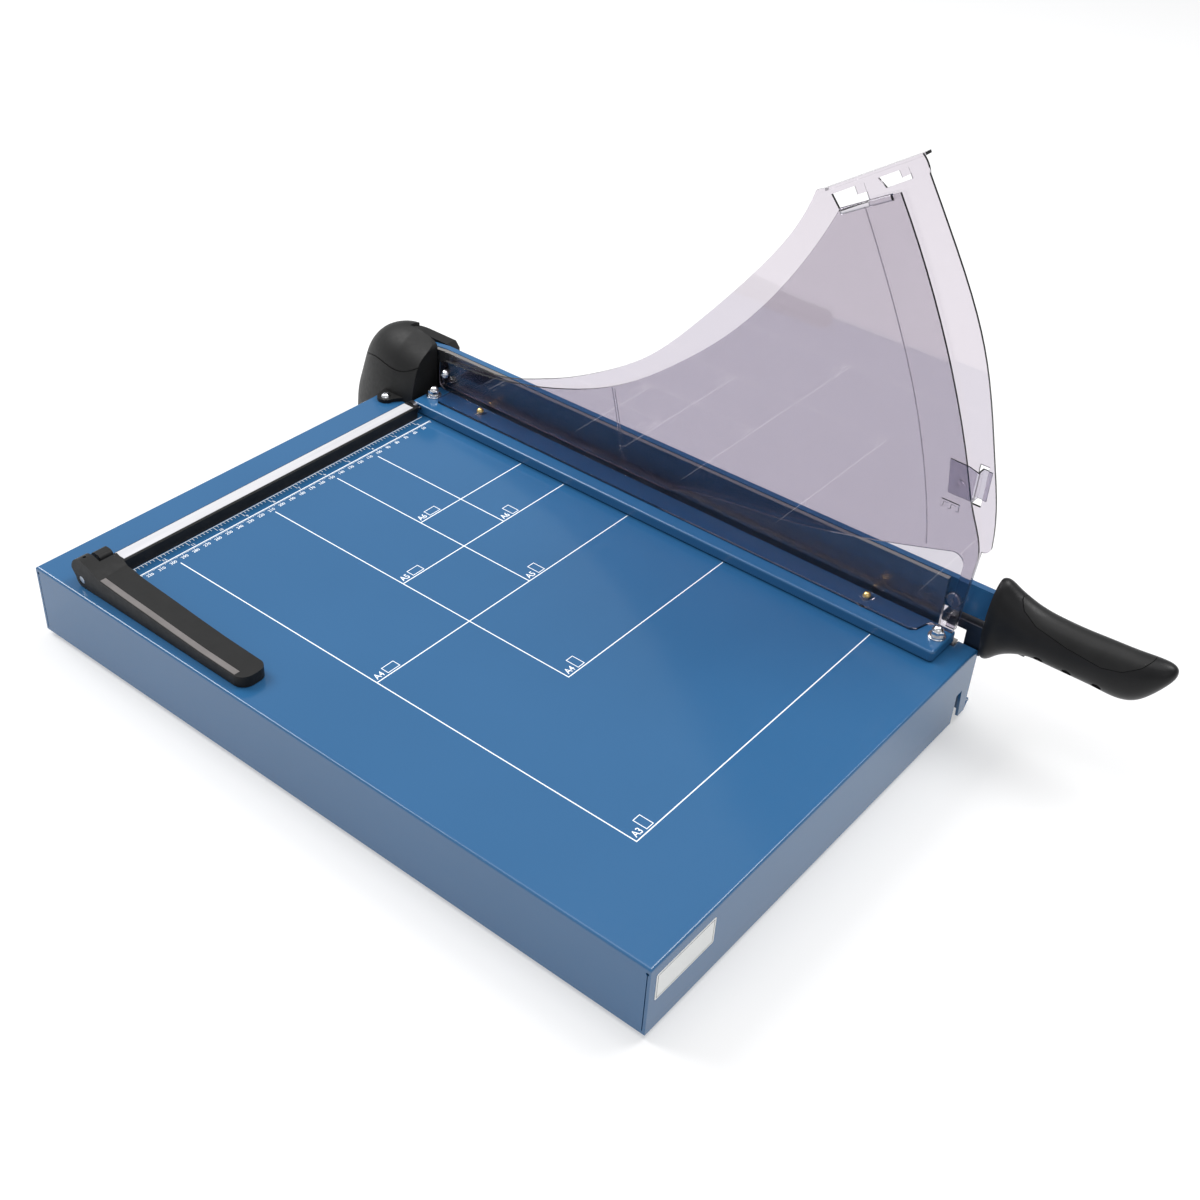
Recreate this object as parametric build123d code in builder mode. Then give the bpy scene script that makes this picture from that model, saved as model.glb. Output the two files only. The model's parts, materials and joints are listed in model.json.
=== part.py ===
from build123d import *
import os

# Guillotine paper cutter. Millimetres, +Z up, +X along the cut from the pivot to the handle.
# Working frame of the numbers below: X from the stop bar's front face, Y from the cutting
# edge (the table lies at negative Y), Z from the table top. The row's origin is the middle
# of the footprint at floor level, so every plane and block is shifted by x0, y0 and z0.

# overall
table_left = -50.5
table_right = 483.9
table_front = -366.7
base_height = 54.0
foot_height = 4.0
sheet = 2.0
housing_left = -107.0
handle_tip = 610.0
rear_limit = 24.0
x0 = -(housing_left + handle_tip) / 2
y0 = -(table_front + rear_limit) / 2
z0 = base_height + foot_height

# cut and arm
knife_left = -8.0
knife_right = 468.0
knife_thick = 7.9
rear_wall = -8.0
pivot_x = -45.0
pivot_z = 15.0
bolt_r = 6.0
blade_front = 0.05
blade_back = 4.05
blade_left = -23.0
blade_right = 452.0
arm_front = 4.1
arm_back = 9.1

# press bar
bar_left = -12.0
bar_right = 467.0
bar_front = -36.3
bar_back = -3.3
bar_low = 1.3
bar_top = 9.0
stud_y = -18.5
stud_left = -4.5
stud_right = 459.8
stud_r = 2.5
stud_places = (stud_left, stud_right)

# clamp lever and its shaft
shaft_x = -7.5
shaft_z = 6.0
shaft_r = 3.0
crank = 4.2
crank_pin_r = 1.3
stop_front = -330.0
stop_back = -42.4
stop_width = 12.5
stop_height = 10.5
lever_outer = -359.4
lever_inner = -349.6

foot_xs = (table_left + 20, table_right - 20)
foot_ys = (table_front + 20, -31)
knife_screws = (20, 125, 230, 335, 440)
bracket_screws = ((-42, -14), (-31, -14), (-42, -34), (-31, -34))
stop_screws = (-310, -220, -130, -60)
hood_screw_zs = (-8, -34)
guard_screw_xs = (42, 402)
blade_screw_xs = (32, 139, 246, 352, 438)
handle_screw_xs = (526, 546, 567)
handle_y = 6.5
handle_z = 28.2

# guards
guard_front = -8.0
guard_back = -6.0
ext_front = -4.5
ext_back = -2.5
flange_low = 9.05
flange_top = 11.05
clip_back = guard_front - 0.15

# housing
hood_mid_x = -40.0
hood_mid_y = 2.0
hood_wall = 2.5
hood_low = -44.0
hood_post_x = -78.0
lug_x = -39.5
lug_y = -38.5
slot_front = -1.0
cover_front = 10.0
cover_left = -97.6
cover_bend_z = -6.0
cover_right = -12.0
cover_top = 40.5
cover_bend_x = -46.0

os.makedirs("parts", exist_ok=True)


def level(z):
    return Plane(origin=(x0, y0, z0 + z))


def front(y):
    return Plane(origin=(x0, y0 + y, z0), x_dir=(1, 0, 0), z_dir=(0, -1, 0))


def side(x):
    return Plane(origin=(x0 + x, y0, z0), x_dir=(0, 1, 0), z_dir=(1, 0, 0))


def block(x1, x2, y1, y2, z1, z2, mode=Mode.ADD):
    with Locations((x0 + (x1 + x2) / 2, y0 + (y1 + y2) / 2, z0 + (z1 + z2) / 2)):
        Box(x2 - x1, y2 - y1, z2 - z1, mode=mode)


def post(x, y, z1, z2, r, mode=Mode.ADD):
    with Locations((x0 + x, y0 + y, z0 + (z1 + z2) / 2)):
        Cylinder(r, z2 - z1, mode=mode)


def rod_y(x, z, y1, y2, r, mode=Mode.ADD):
    with Locations(Location((x0 + x, y0 + (y1 + y2) / 2, z0 + z), (90, 0, 0))):
        Cylinder(r, y2 - y1, mode=mode)


def slant(x, low, high, r, mode=Mode.ADD):
    # along the handle screws' axis, measured from the handle's middle, low at the bottom
    along = Plane(origin=(x0 + x, y0 + handle_y, z0 + handle_z), z_dir=(0, 0.68, 0.73))
    with Locations(along.offset((low + high) / 2).location):
        Cylinder(r, high - low, mode=mode)


def save(part, name):
    part.label = name
    export_step(part, f"parts/{name}.step")


# ---------------------------------------------------------------- table and what it carries

with BuildPart() as table_base:
    block(table_left, table_right, table_front, rear_wall, -base_height, 0)
    block(knife_right + 0.4, table_right, rear_wall - 1, -0.3, -base_height, 0)
    top_rim = table_base.faces().sort_by(Axis.Z)[-1].outer_wire().edges()
    fillet(top_rim, radius=1.9)
    block(table_left + sheet, table_right - sheet, table_front + sheet, rear_wall - sheet,
          -base_height - 1, -sheet, Mode.SUBTRACT)
    block(knife_right + 0.4 + sheet, table_right - sheet, rear_wall - 4, -0.3 - sheet,
          -base_height - 1, -sheet, Mode.SUBTRACT)
    # folded lips along the lower edges
    block(table_left + 0.5, table_left + 16, table_front + 0.5, rear_wall - 0.5,
          -base_height, -base_height + sheet)
    block(table_right - 16, table_right - 0.5, table_front + 0.5, rear_wall - 14,
          -base_height, -base_height + sheet)
    block(table_left + 0.5, table_right - 0.5, table_front + 0.5, table_front + 16,
          -base_height, -base_height + sheet)
    # open corner seams with a relief notch under the folded top
    for seam in (table_left + sheet, table_right - sheet - 0.6):
        block(seam, seam + 0.6, table_front - 1, table_front + sheet + 0.2,
              -base_height + sheet + 0.5, -4.5, Mode.SUBTRACT)
        rod_y(seam + 0.3, -4.5, table_front - 1, table_front + sheet + 0.2, 1.1, Mode.SUBTRACT)
    # hand slot beside the cutting edge, open at the bottom
    with BuildSketch(side(table_right - 6)):
        Polygon((-19.5, -base_height - 1), (-19.8, -29.2), (-12.7, -28.9),
                (-9, -base_height - 1), align=None)
    extrude(amount=8, mode=Mode.SUBTRACT)
    for stud_x in stud_places:
        post(stud_x, stud_y, -3, 1, 4.5, Mode.SUBTRACT)
    for screw_y in stop_screws:
        post(-2.1, screw_y, -3, 1, 1.4, Mode.SUBTRACT)
    for screw_y in (-344.5, -336):
        post(-11.8, screw_y, -3, 1, 1.2, Mode.SUBTRACT)
    post(lug_x, lug_y, -3, 1, 1.65, Mode.SUBTRACT)
    for foot_x in foot_xs:
        for foot_y in foot_ys:
            block(foot_x - 13, foot_x + 13, foot_y - 13, foot_y + 13,
                  -base_height, -base_height + sheet)
    for foot_x in foot_xs:
        for foot_y in foot_ys:
            post(foot_x, foot_y, -base_height - 1, -base_height + 3, 2.1, Mode.SUBTRACT)
    for screw_x in knife_screws:
        rod_y(screw_x, -12, rear_wall - 3, rear_wall + 1, 2.6, Mode.SUBTRACT)
    for screw_x, screw_z in bracket_screws:
        rod_y(screw_x, screw_z, rear_wall - 3, rear_wall + 1, 3.1, Mode.SUBTRACT)
save(table_base.part, "table_base")

with BuildPart() as rubber_feet:
    for foot_x in foot_xs:
        for foot_y in foot_ys:
            post(foot_x, foot_y, -base_height - foot_height, -base_height, 8.5)
            post(foot_x, foot_y, -base_height - foot_height, -base_height - 1.5, 4.2,
                 Mode.SUBTRACT)
            post(foot_x, foot_y, -base_height - 2, -base_height, 2.1, Mode.SUBTRACT)
    chamfer(rubber_feet.faces().sort_by(Axis.Z)[0:4].edges().filter_by(GeomType.CIRCLE), 0.6)
save(rubber_feet.part, "rubber_feet")

with BuildPart() as foot_screws:
    for foot_x in foot_xs:
        for foot_y in foot_ys:
            post(foot_x, foot_y, -base_height - 3.2, -base_height - 1.5, 3.8)
            post(foot_x, foot_y, -base_height - 1.6, -base_height + sheet + 3.6, 2.0)
            with Locations((x0 + foot_x, y0 + foot_y, z0 - base_height + sheet + 1.6)):
                Cylinder(3.6, 3.0)
save(foot_screws.part, "foot_screws")

# fixed lower knife, let in along the table's cutting edge
with BuildPart() as counter_blade:
    block(knife_left, knife_right, -knife_thick, -0.05, -26, 0)
    for screw_x in knife_screws:
        rod_y(screw_x, -12, -knife_thick - 1, -2, 2.5, Mode.SUBTRACT)
save(counter_blade.part, "counter_blade")

with BuildPart() as knife_bolts:
    for screw_x in knife_screws:
        rod_y(screw_x, -12, rear_wall - sheet, -2.1, 2.4)
        rod_y(screw_x, -12, rear_wall - sheet - 3.2, rear_wall - sheet, 4.2)
        rod_y(screw_x, -12, rear_wall - sheet - 4.2, rear_wall - sheet - 1.2, 2.0, Mode.SUBTRACT)
save(knife_bolts.part, "knife_bolts")

# paper stop with the lever shaft running through it
with BuildPart() as stop_bar:
    block(-stop_width, 0, stop_front, stop_back, 0, stop_height)
    upper = stop_bar.edges().filter_by(Axis.Y).sort_by(Axis.Z)[-2:]
    chamfer(upper, length=0.8)
    block(-11.2, -1.3, stop_front + 1.5, stop_back - 3.5, stop_height - 0.3, stop_height + 1,
          Mode.SUBTRACT)
    rod_y(shaft_x, shaft_z, stop_front - 1, stop_back + 1, shaft_r + 0.35, Mode.SUBTRACT)
    rod_y(shaft_x, shaft_z, stop_front - 1, stop_front + 8, 4.0, Mode.SUBTRACT)
    rod_y(shaft_x, shaft_z, stop_back - 8, stop_back + 1, 4.0, Mode.SUBTRACT)
    for screw_y in stop_screws:
        post(-2.1, screw_y, -1, 7, 1.25, Mode.SUBTRACT)
save(stop_bar.part, "stop_bar")

with BuildPart() as stop_bar_strip:
    block(-11.1, -1.4, stop_front + 1.6, stop_back - 3.6, stop_height - 0.3, stop_height + 0.15)
save(stop_bar_strip.part, "stop_bar_strip")

with BuildPart() as stop_bar_screws:
    for screw_y in stop_screws:
        post(-2.1, screw_y, -sheet - 1.8, -sheet, 2.6)
        post(-2.1, screw_y, -sheet - 0.1, 6.5, 1.2)
save(stop_bar_screws.part, "stop_bar_screws")

with BuildPart() as shaft_bushings:
    for start in (stop_front, stop_back - 8):
        rod_y(shaft_x, shaft_z, start, start + 8, 4.0)
        rod_y(shaft_x, shaft_z, start - 1, start + 9, shaft_r + 0.05, Mode.SUBTRACT)
save(shaft_bushings.part, "shaft_bushings")

# bearing block for the clamp lever
with BuildPart() as lever_bracket:
    block(-14.5, -0.3, -349.2, stop_front - 0.05, 0, 9.5)
    with BuildSketch(front(-335.0)):
        with BuildLine():
            Line((-14.5, 5), (-13.2, 17.6))
            ThreePointArc((-13.2, 17.6), (-11.4, 19.7), (-8.8, 20.3))
            Line((-8.8, 20.3), (-6.0, 20.3))
            ThreePointArc((-6.0, 20.3), (-3.6, 18.9), (-2.6, 16))
            Line((-2.6, 16), (-0.3, 5))
            Line((-0.3, 5), (-14.5, 5))
        make_face()
    extrude(amount=10.5)
    rod_y(shaft_x, shaft_z, -352, -328, shaft_r + 0.06, Mode.SUBTRACT)
    for screw_y in (-344.5, -336):
        post(-11.8, screw_y, -1, 2.4, 1.1, Mode.SUBTRACT)
save(lever_bracket.part, "lever_bracket")

with BuildPart() as lever_bracket_screws:
    for screw_y in (-344.5, -336):
        post(-11.8, screw_y, -sheet - 2.0, -sheet, 2.4)
        post(-11.8, screw_y, -sheet - 0.1, 2.2, 1.05)
save(lever_bracket_screws.part, "lever_bracket_screws")

# pivot bracket bolted behind the table's rear wall
with BuildPart() as pivot_bracket:
    with BuildSketch(front(3.9)):
        with Locations((pivot_x, pivot_z)):
            Circle(17)
        Polygon((-62, -42), (-24, -42), (-28, pivot_z), (-62, pivot_z), align=None)
    extrude(amount=3.9 + knife_thick)
    rod_y(pivot_x, pivot_z, -knife_thick - 1, 5, bolt_r, Mode.SUBTRACT)
    for screw_x, screw_z in bracket_screws:
        rod_y(screw_x, screw_z, -knife_thick - 1, 1.5, 3.0, Mode.SUBTRACT)
save(pivot_bracket.part, "pivot_bracket")

with BuildPart() as bracket_bolts:
    for screw_x, screw_z in bracket_screws:
        rod_y(screw_x, screw_z, rear_wall - sheet, 1.4, 2.9)
        rod_y(screw_x, screw_z, rear_wall - sheet - 5, rear_wall - sheet, 5.0)
        rod_y(screw_x, screw_z, rear_wall - sheet - 6, rear_wall - sheet - 2, 2.4, Mode.SUBTRACT)
save(bracket_bolts.part, "bracket_bolts")

with BuildPart() as pivot_bolt:
    rod_y(pivot_x, pivot_z, -knife_thick, 20, bolt_r)
    with BuildSketch(front(-knife_thick)):
        with Locations((pivot_x, pivot_z)):
            RegularPolygon(11, 6)
    extrude(amount=7)
save(pivot_bolt.part, "pivot_bolt")

with BuildPart() as thrust_washer:
    rod_y(pivot_x, pivot_z, 3.92, 4.07, 15)
    rod_y(pivot_x, pivot_z, 3, 5, bolt_r + 0.05, Mode.SUBTRACT)
save(thrust_washer.part, "thrust_washer")

with BuildPart() as disc_springs:
    for start, lean in ((9.15, 1), (11.15, -1)):
        with BuildSketch(Plane(origin=(x0 + pivot_x, y0, z0 + pivot_z), x_dir=(1, 0, 0),
                               z_dir=(0, 0, 1))):
            rise = 0.8
            low = start + (rise if lean < 0 else 0)
            high = start + (0 if lean < 0 else rise)
            Polygon((bolt_r + 0.2, high), (13, low), (13, low + 1.15), (bolt_r + 0.2, high + 1.15),
                    align=None)
        revolve(axis=Axis((x0 + pivot_x, y0, z0 + pivot_z), (0, 1, 0)))
save(disc_springs.part, "disc_springs")

with BuildPart() as pivot_nut:
    with BuildSketch(front(19.2)):
        with Locations((pivot_x, pivot_z)):
            RegularPolygon(10.5, 6)
    extrude(amount=19.2 - 13.2)
    rod_y(pivot_x, pivot_z, 12, 21, bolt_r, Mode.SUBTRACT)
save(pivot_nut.part, "pivot_nut")

with BuildPart() as arm_stop:
    block(471, 482.5, -0.28, 9, -15, -6.3)
    block(471, 482.5, 3, 10, -16, -9.5, Mode.SUBTRACT)
save(arm_stop.part, "arm_stop")

with BuildPart() as side_label:
    block(table_right, table_right + 0.25, -361, -306, -29.5, -8.5)
    fillet(side_label.edges().filter_by(Axis.X), radius=1.2)
save(side_label.part, "side_label")

with BuildPart() as rear_flange:
    with BuildSketch(level(-base_height)):
        Polygon((380, -0.3), (table_right, -0.3), (table_right - 3, 12), (400, 12), align=None)
    extrude(amount=1.6)
    with BuildSketch(side(table_right - 4)):
        Polygon((-0.3, -base_height), (12, -base_height), (-0.3, -base_height + 11), align=None)
    extrude(amount=1.6)
save(rear_flange.part, "rear_flange")

# ---------------------------------------------------------------- pivot housing


# level, reach of the rounded left end, half depth in the middle, half depth and X at the right
hood_levels = (
    (hood_low, 67.0, 36.8, 36.8, -17.0),
    (-27.0, 65.0, 35.8, 35.8, -17.0),
    (-10.0, 61.0, 34.6, 34.4, -17.0),
    (10.0, 54.4, 32.8, 32.4, -17.0),
    (22.0, 50.0, 30.3, 29.6, -17.0),
    (31.0, 44.5, 27.2, 25.8, -17.0),
    (38.0, 38.0, 23.0, 19.9, -17.0),
    (43.5, 30.0, 17.8, 11.5, -17.0),
    (47.0, 22.5, 12.8, 5.0, -21.0),
    (49.5, 15.0, 7.5, 3.2, -29.0),
    (51.0, 6.0, 3.4, 2.2, -36.0),
)
# the line pressed into the housing's skin, as X and Z seen from the front
groove_line = ((-110, 8), (-95, 12.5), (-83, 17.7), (-72.5, 22.2), (-64, 24.2), (-56, 24.4),
               (-48, 23.8), (-41, 23.3), (-34.5, 23.6), (-28.6, 25.1), (-23, 27.7), (-17.3, 31.1),
               (-12, 34.6))


def hood_form(inset, end_inset, drop):
    with BuildPart() as form:
        for height, reach, deep_mid, deep_end, end in hood_levels:
            shift = -inset if height > 0 else 0
            if height == hood_low:
                shift = -drop
            left_r = reach - inset
            mid_b = max(deep_mid - inset, 1.0)
            end_b = max(deep_end - inset, 0.6)
            end_x = end - end_inset
            with BuildSketch(level(height + shift)):
                with BuildLine():
                    EllipticalCenterArc((hood_mid_x, hood_mid_y), left_r, mid_b,
                                        start_angle=90, arc_size=180)
                    Line((hood_mid_x, hood_mid_y - mid_b), (end_x, hood_mid_y - end_b))
                    Line((end_x, hood_mid_y - end_b), (end_x, hood_mid_y + end_b))
                    Line((end_x, hood_mid_y + end_b), (hood_mid_x, hood_mid_y + mid_b))
                make_face()
        loft()
    return form.part


hood_outer = hood_form(0, 0, 0)
hood_inner = hood_form(hood_wall, 3.0, 2.0)

with BuildPart() as hood_groove:
    with BuildSketch(front(9)):
        with BuildLine():
            upper = Spline(*[(x, z + 0.55) for x, z in groove_line])
            lower = Spline(*[(x, z - 0.55) for x, z in groove_line])
            Line(upper @ 0, lower @ 0)
            Line(upper @ 1, lower @ 1)
        make_face()
    extrude(amount=60)
    add(hood_form(0.8, -3.0, 0), mode=Mode.SUBTRACT)

# screw posts shared with the rear cover
with BuildPart() as hood_posts:
    for screw_z in hood_screw_zs:
        rod_y(hood_post_x, screw_z, -30, 9.8, 4.5)
    add(hood_outer, mode=Mode.INTERSECT)

with BuildPart() as pivot_housing:
    add(hood_outer)
    add(hood_inner, mode=Mode.SUBTRACT)
    add(hood_groove.part, mode=Mode.SUBTRACT)
    # clearance for the table and the way of arm and blade
    block(table_left - 0.3, 0, -60, rear_wall + 0.3, hood_low - 2, 0.15, Mode.SUBTRACT)
    block(-120, 0, 9.8, 60, -80, 80, Mode.SUBTRACT)
    block(-47, 0, slot_front, 12, -60, 80, Mode.SUBTRACT)
    # fixing lug on the table
    with BuildSketch(level(0.15)):
        with Locations((lug_x, lug_y + 0.5)):
            Circle(7.5)
        Polygon((-47, -38), (-50, -27), (-24, -27), (-32, -38), align=None)
    extrude(amount=3)
    add(hood_inner, mode=Mode.SUBTRACT)
    post(lug_x, lug_y, -1, 4, 2.1, Mode.SUBTRACT)
    add(hood_posts.part)
    for screw_z in hood_screw_zs:
        rod_y(hood_post_x, screw_z, -12, 10.5, 1.5, Mode.SUBTRACT)
save(pivot_housing.part, "pivot_housing")


def cover_form(inset, back, low, edge_r):
    left = cover_left + inset
    right = cover_right - inset
    with BuildPart() as form:
        with BuildSketch(front(back)):
            with BuildLine():
                Line((left, low), (right, low))
                Line((right, low), (right, cover_top - 6 - inset))
                Line((right, cover_top - 6 - inset), (right - 5, cover_top - inset))
                Line((right - 5, cover_top - inset), (cover_bend_x, cover_top - inset))
                EllipticalCenterArc((cover_bend_x, cover_bend_z), cover_bend_x - left,
                                    cover_top - cover_bend_z - inset, start_angle=90, arc_size=90)
                Line((left, cover_bend_z), (left, low))
            make_face()
        extrude(amount=back - cover_front)
        back_edges = form.faces().sort_by(Axis.Y)[-1].edges().sort_by(Axis.Z)
        fillet(back_edges[1:], radius=edge_r)
    return form.part


with BuildPart() as rear_cover:
    add(cover_form(0, rear_limit, hood_low, 6.0))
    add(cover_form(hood_wall, rear_limit - hood_wall, hood_low - 2, 4.0), mode=Mode.SUBTRACT)
    for screw_z in hood_screw_zs:
        rod_y(hood_post_x, screw_z, cover_front, 22, 4.5)
        rod_y(hood_post_x, screw_z, cover_front - 1, 30, 1.8, Mode.SUBTRACT)
        rod_y(hood_post_x, screw_z, 20.5, 30, 3.6, Mode.SUBTRACT)
save(rear_cover.part, "rear_cover")

with BuildPart() as housing_screws:
    with Locations((x0 + lug_x, y0 + lug_y, z0 + 1.6)):
        Sphere(4.2)
    post(lug_x, lug_y, -4, 3.15, 5, Mode.SUBTRACT)
    block(lug_x - 2.2, lug_x + 2.2, lug_y - 0.4, lug_y + 0.4, 5.0, 7.0, Mode.SUBTRACT)
    block(lug_x - 0.4, lug_x + 0.4, lug_y - 2.2, lug_y + 2.2, 5.0, 7.0, Mode.SUBTRACT)
    post(lug_x, lug_y, -6, 3.2, 1.6)
    for screw_z in hood_screw_zs:
        rod_y(hood_post_x, screw_z, 20.6, 22.8, 3.4)
        rod_y(hood_post_x, screw_z, -11, 20.7, 1.45)
save(housing_screws.part, "housing_screws")

# ---------------------------------------------------------------- arm, blade and handle

with BuildPart() as blade_arm:
    with BuildSketch(front(arm_back)):
        with Locations((pivot_x, pivot_z)):
            Circle(20)
        with BuildLine():
            Line((pivot_x, 35), (-28, 38.6))
            Line((-28, 38.6), (-12, 40.6))
            Line((-12, 40.6), (486, 44.3))
            Line((486, 44.3), (492, 38))
            Line((492, 38), (566, 35))
            Line((566, 35), (566, 22))
            Line((566, 22), (452, 20))
            Line((452, 20), (0, 11))
            Line((0, 11), (-20, 2))
            Line((-20, 2), (pivot_x, -5))
            Line((pivot_x, -5), (pivot_x, 35))
        make_face()
    extrude(amount=arm_back - arm_front)
    rod_y(pivot_x, pivot_z, 3, 10, 8.0, Mode.SUBTRACT)
    for screw_x in blade_screw_xs:
        rod_y(screw_x, 25, 3, 8.2, 2.5, Mode.SUBTRACT)
    rod_y(458, 28, 3, 10, 3.0, Mode.SUBTRACT)
    for screw_x in handle_screw_xs:
        slant(screw_x, -9, 9, 1.6, Mode.SUBTRACT)
save(blade_arm.part, "blade_arm")

with BuildPart() as pivot_bush:
    rod_y(pivot_x, pivot_z, arm_front, arm_back, 8.0)
    rod_y(pivot_x, pivot_z, 3, 10, bolt_r + 0.05, Mode.SUBTRACT)
save(pivot_bush.part, "pivot_bush")

with BuildPart() as cutting_blade:
    with BuildSketch(front(blade_back)):
        with BuildLine():
            Line((blade_left, -5), (blade_left, 38.8))
            Line((blade_left, 38.8), (-10, 40.2))
            Line((-10, 40.2), (blade_right, 43.6))
            Line((blade_right, 43.6), (blade_right, -9))
            ThreePointArc((blade_right, -9), (225, -13.5), (blade_left, -5))
        make_face()
    extrude(amount=blade_back - blade_front)
    lower_back = cutting_blade.edges().filter_by(GeomType.CIRCLE).sort_by(Axis.Y)[-1]
    chamfer(lower_back, length=3.0)
    for screw_x in blade_screw_xs:
        rod_y(screw_x, 25, 0, 5, 2.6, Mode.SUBTRACT)
        with Locations(Location((x0 + screw_x, y0 + 1.4, z0 + 25), (90, 0, 0))):
            Cone(2.6, 5.0, 2.8, mode=Mode.SUBTRACT)
save(cutting_blade.part, "cutting_blade")

with BuildPart() as blade_screws:
    for screw_x in blade_screw_xs:
        rod_y(screw_x, 25, 2.0, 8.0, 2.45)
        with Locations(Location((x0 + screw_x, y0 + 1.35, z0 + 25), (90, 0, 0))):
            Cone(2.45, 4.75, 2.5)
        block(screw_x - 2.6, screw_x + 2.6, -1, 1.1, 24.5, 25.5, Mode.SUBTRACT)
        block(screw_x - 0.5, screw_x + 0.5, -1, 1.1, 22.4, 27.6, Mode.SUBTRACT)
save(blade_screws.part, "blade_screws")

with BuildPart() as handle_tang:
    with BuildSketch(front(9.0)):
        Polygon((453, 10), (472, 10), (472, -6), (485, -6), (485, 10), (515, 10), (515, 17.5),
                (453, 17.5), align=None)
    extrude(amount=8.9)
    fillet(handle_tang.edges().filter_by(Axis.Y).sort_by(Axis.X)[0:2], radius=1.2)
save(handle_tang.part, "handle_tang")

with BuildPart() as tang_bolt:
    rod_y(458, 28, 1.3, 4.1, 5.6)
    rod_y(458, 28, 4.0, 15.0, 2.95)
    fillet(tang_bolt.faces().sort_by(Axis.Y)[0].edges(), radius=1.2)
    rod_y(458, 28, 1.0, 2.3, 1.6, Mode.SUBTRACT)
save(tang_bolt.part, "tang_bolt")

with BuildPart() as tang_nut:
    with BuildSketch(front(13.6)):
        with Locations((458, 28)):
            RegularPolygon(6, 6)
    extrude(amount=13.6 - arm_back)
    rod_y(458, 28, 8, 15, 2.95, Mode.SUBTRACT)
save(tang_nut.part, "tang_nut")

# stations of the handle: x, half width, half height, centre height
handle_form = (
    (485.6, 14.5, 32.5, 24.0),
    (488.0, 15.5, 33.0, 24.5),
    (495.0, 15.5, 28.5, 26.5),
    (504.0, 15.3, 22.8, 27.8),
    (515.0, 15.0, 18.6, 28.4),
    (530.0, 14.6, 17.2, 28.2),
    (548.0, 14.4, 17.2, 28.2),
    (566.0, 14.4, 17.8, 28.6),
    (582.0, 14.2, 18.2, 29.2),
    (592.0, 13.2, 16.6, 32.0),
    (600.0, 10.8, 12.6, 36.8),
    (606.0, 7.6, 7.8, 41.2),
    (609.0, 4.2, 4.2, 43.2),
    (handle_tip, 1.6, 1.6, 43.7),
)


def handle_loft(inset, stations):
    with BuildPart() as form:
        for station_x, half_y, half_z, mid_z in stations:
            with BuildSketch(side(station_x)):
                with Locations((handle_y, mid_z)):
                    Ellipse(half_y - inset, half_z - inset)
        loft()
    return form.part


handle_outer = handle_loft(0, handle_form)
handle_core = handle_loft(1.8, handle_form[:-2])

grip_edge = ((500, 90), (500.5, 58), (503, 51), (508, 46), (519, 40.5), (542, 36.5), (567, 34.5),
             (580, 37.5), (590, 44), (597, 52), (600, 90))


def grip_region(gap):
    with BuildPart() as region:
        with BuildSketch(front(40)):
            with BuildLine():
                Polyline(*grip_edge, close=True)
            make_face()
            if gap > 0:
                offset(amount=gap)
        extrude(amount=80)
    return region.part


with BuildPart() as grip_inlay:
    add(handle_outer)
    add(grip_region(0), mode=Mode.INTERSECT)
    add(handle_core, mode=Mode.SUBTRACT)
save(grip_inlay.part, "grip_inlay")

with BuildPart() as handle_body:
    add(handle_outer)
    add(grip_region(0.35), mode=Mode.SUBTRACT)
    add(handle_core)
    # pocket for the arm's tongue and the tang
    with BuildSketch(front(arm_back)):
        Polygon((480, 44.5), (486.2, 44.5), (492.2, 38.2), (566.2, 35.2), (566.2, 21.8),
                (480, 20.0), align=None)
    extrude(amount=arm_back - arm_front, mode=Mode.SUBTRACT)
    block(480, 515.2, 0.1, 9.0, 10, 17.5, Mode.SUBTRACT)
    for screw_x in handle_screw_xs:
        slant(screw_x, -30, -10.5, 3.4, Mode.SUBTRACT)
        slant(screw_x, -12, 8.5, 1.6, Mode.SUBTRACT)
save(handle_body.part, "handle_body")

with BuildPart() as handle_screws:
    for screw_x in handle_screw_xs:
        slant(screw_x, -12.8, -10.5, 3.2)
        slant(screw_x, -10.6, 8.0, 1.55)
        slant(screw_x, -13.5, -11.6, 1.5, Mode.SUBTRACT)
save(handle_screws.part, "handle_screws")

# ---------------------------------------------------------------- clamp lever and shaft

# the lever's upper edge from the hub to the tip, as X and Z seen from the front
lever_top = ((13, 15.2), (35, 13.6), (60, 12.3), (86, 10.6), (112, 9.2), (146, 8.6))


def strip_form(below, above, ends):
    # band along the lever's upper edge, for the inlaid strip and its seat
    with BuildPart() as form:
        with BuildSketch(front(-354.0 + ends)):
            with BuildLine():
                upper = [(x, z + above) for x, z in lever_top]
                lower = [(x, z - below) for x, z in lever_top]
                Polyline(*upper, *reversed(lower), close=True)
            make_face()
        extrude(amount=4.5 + 2 * ends)
    return form.part


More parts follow.
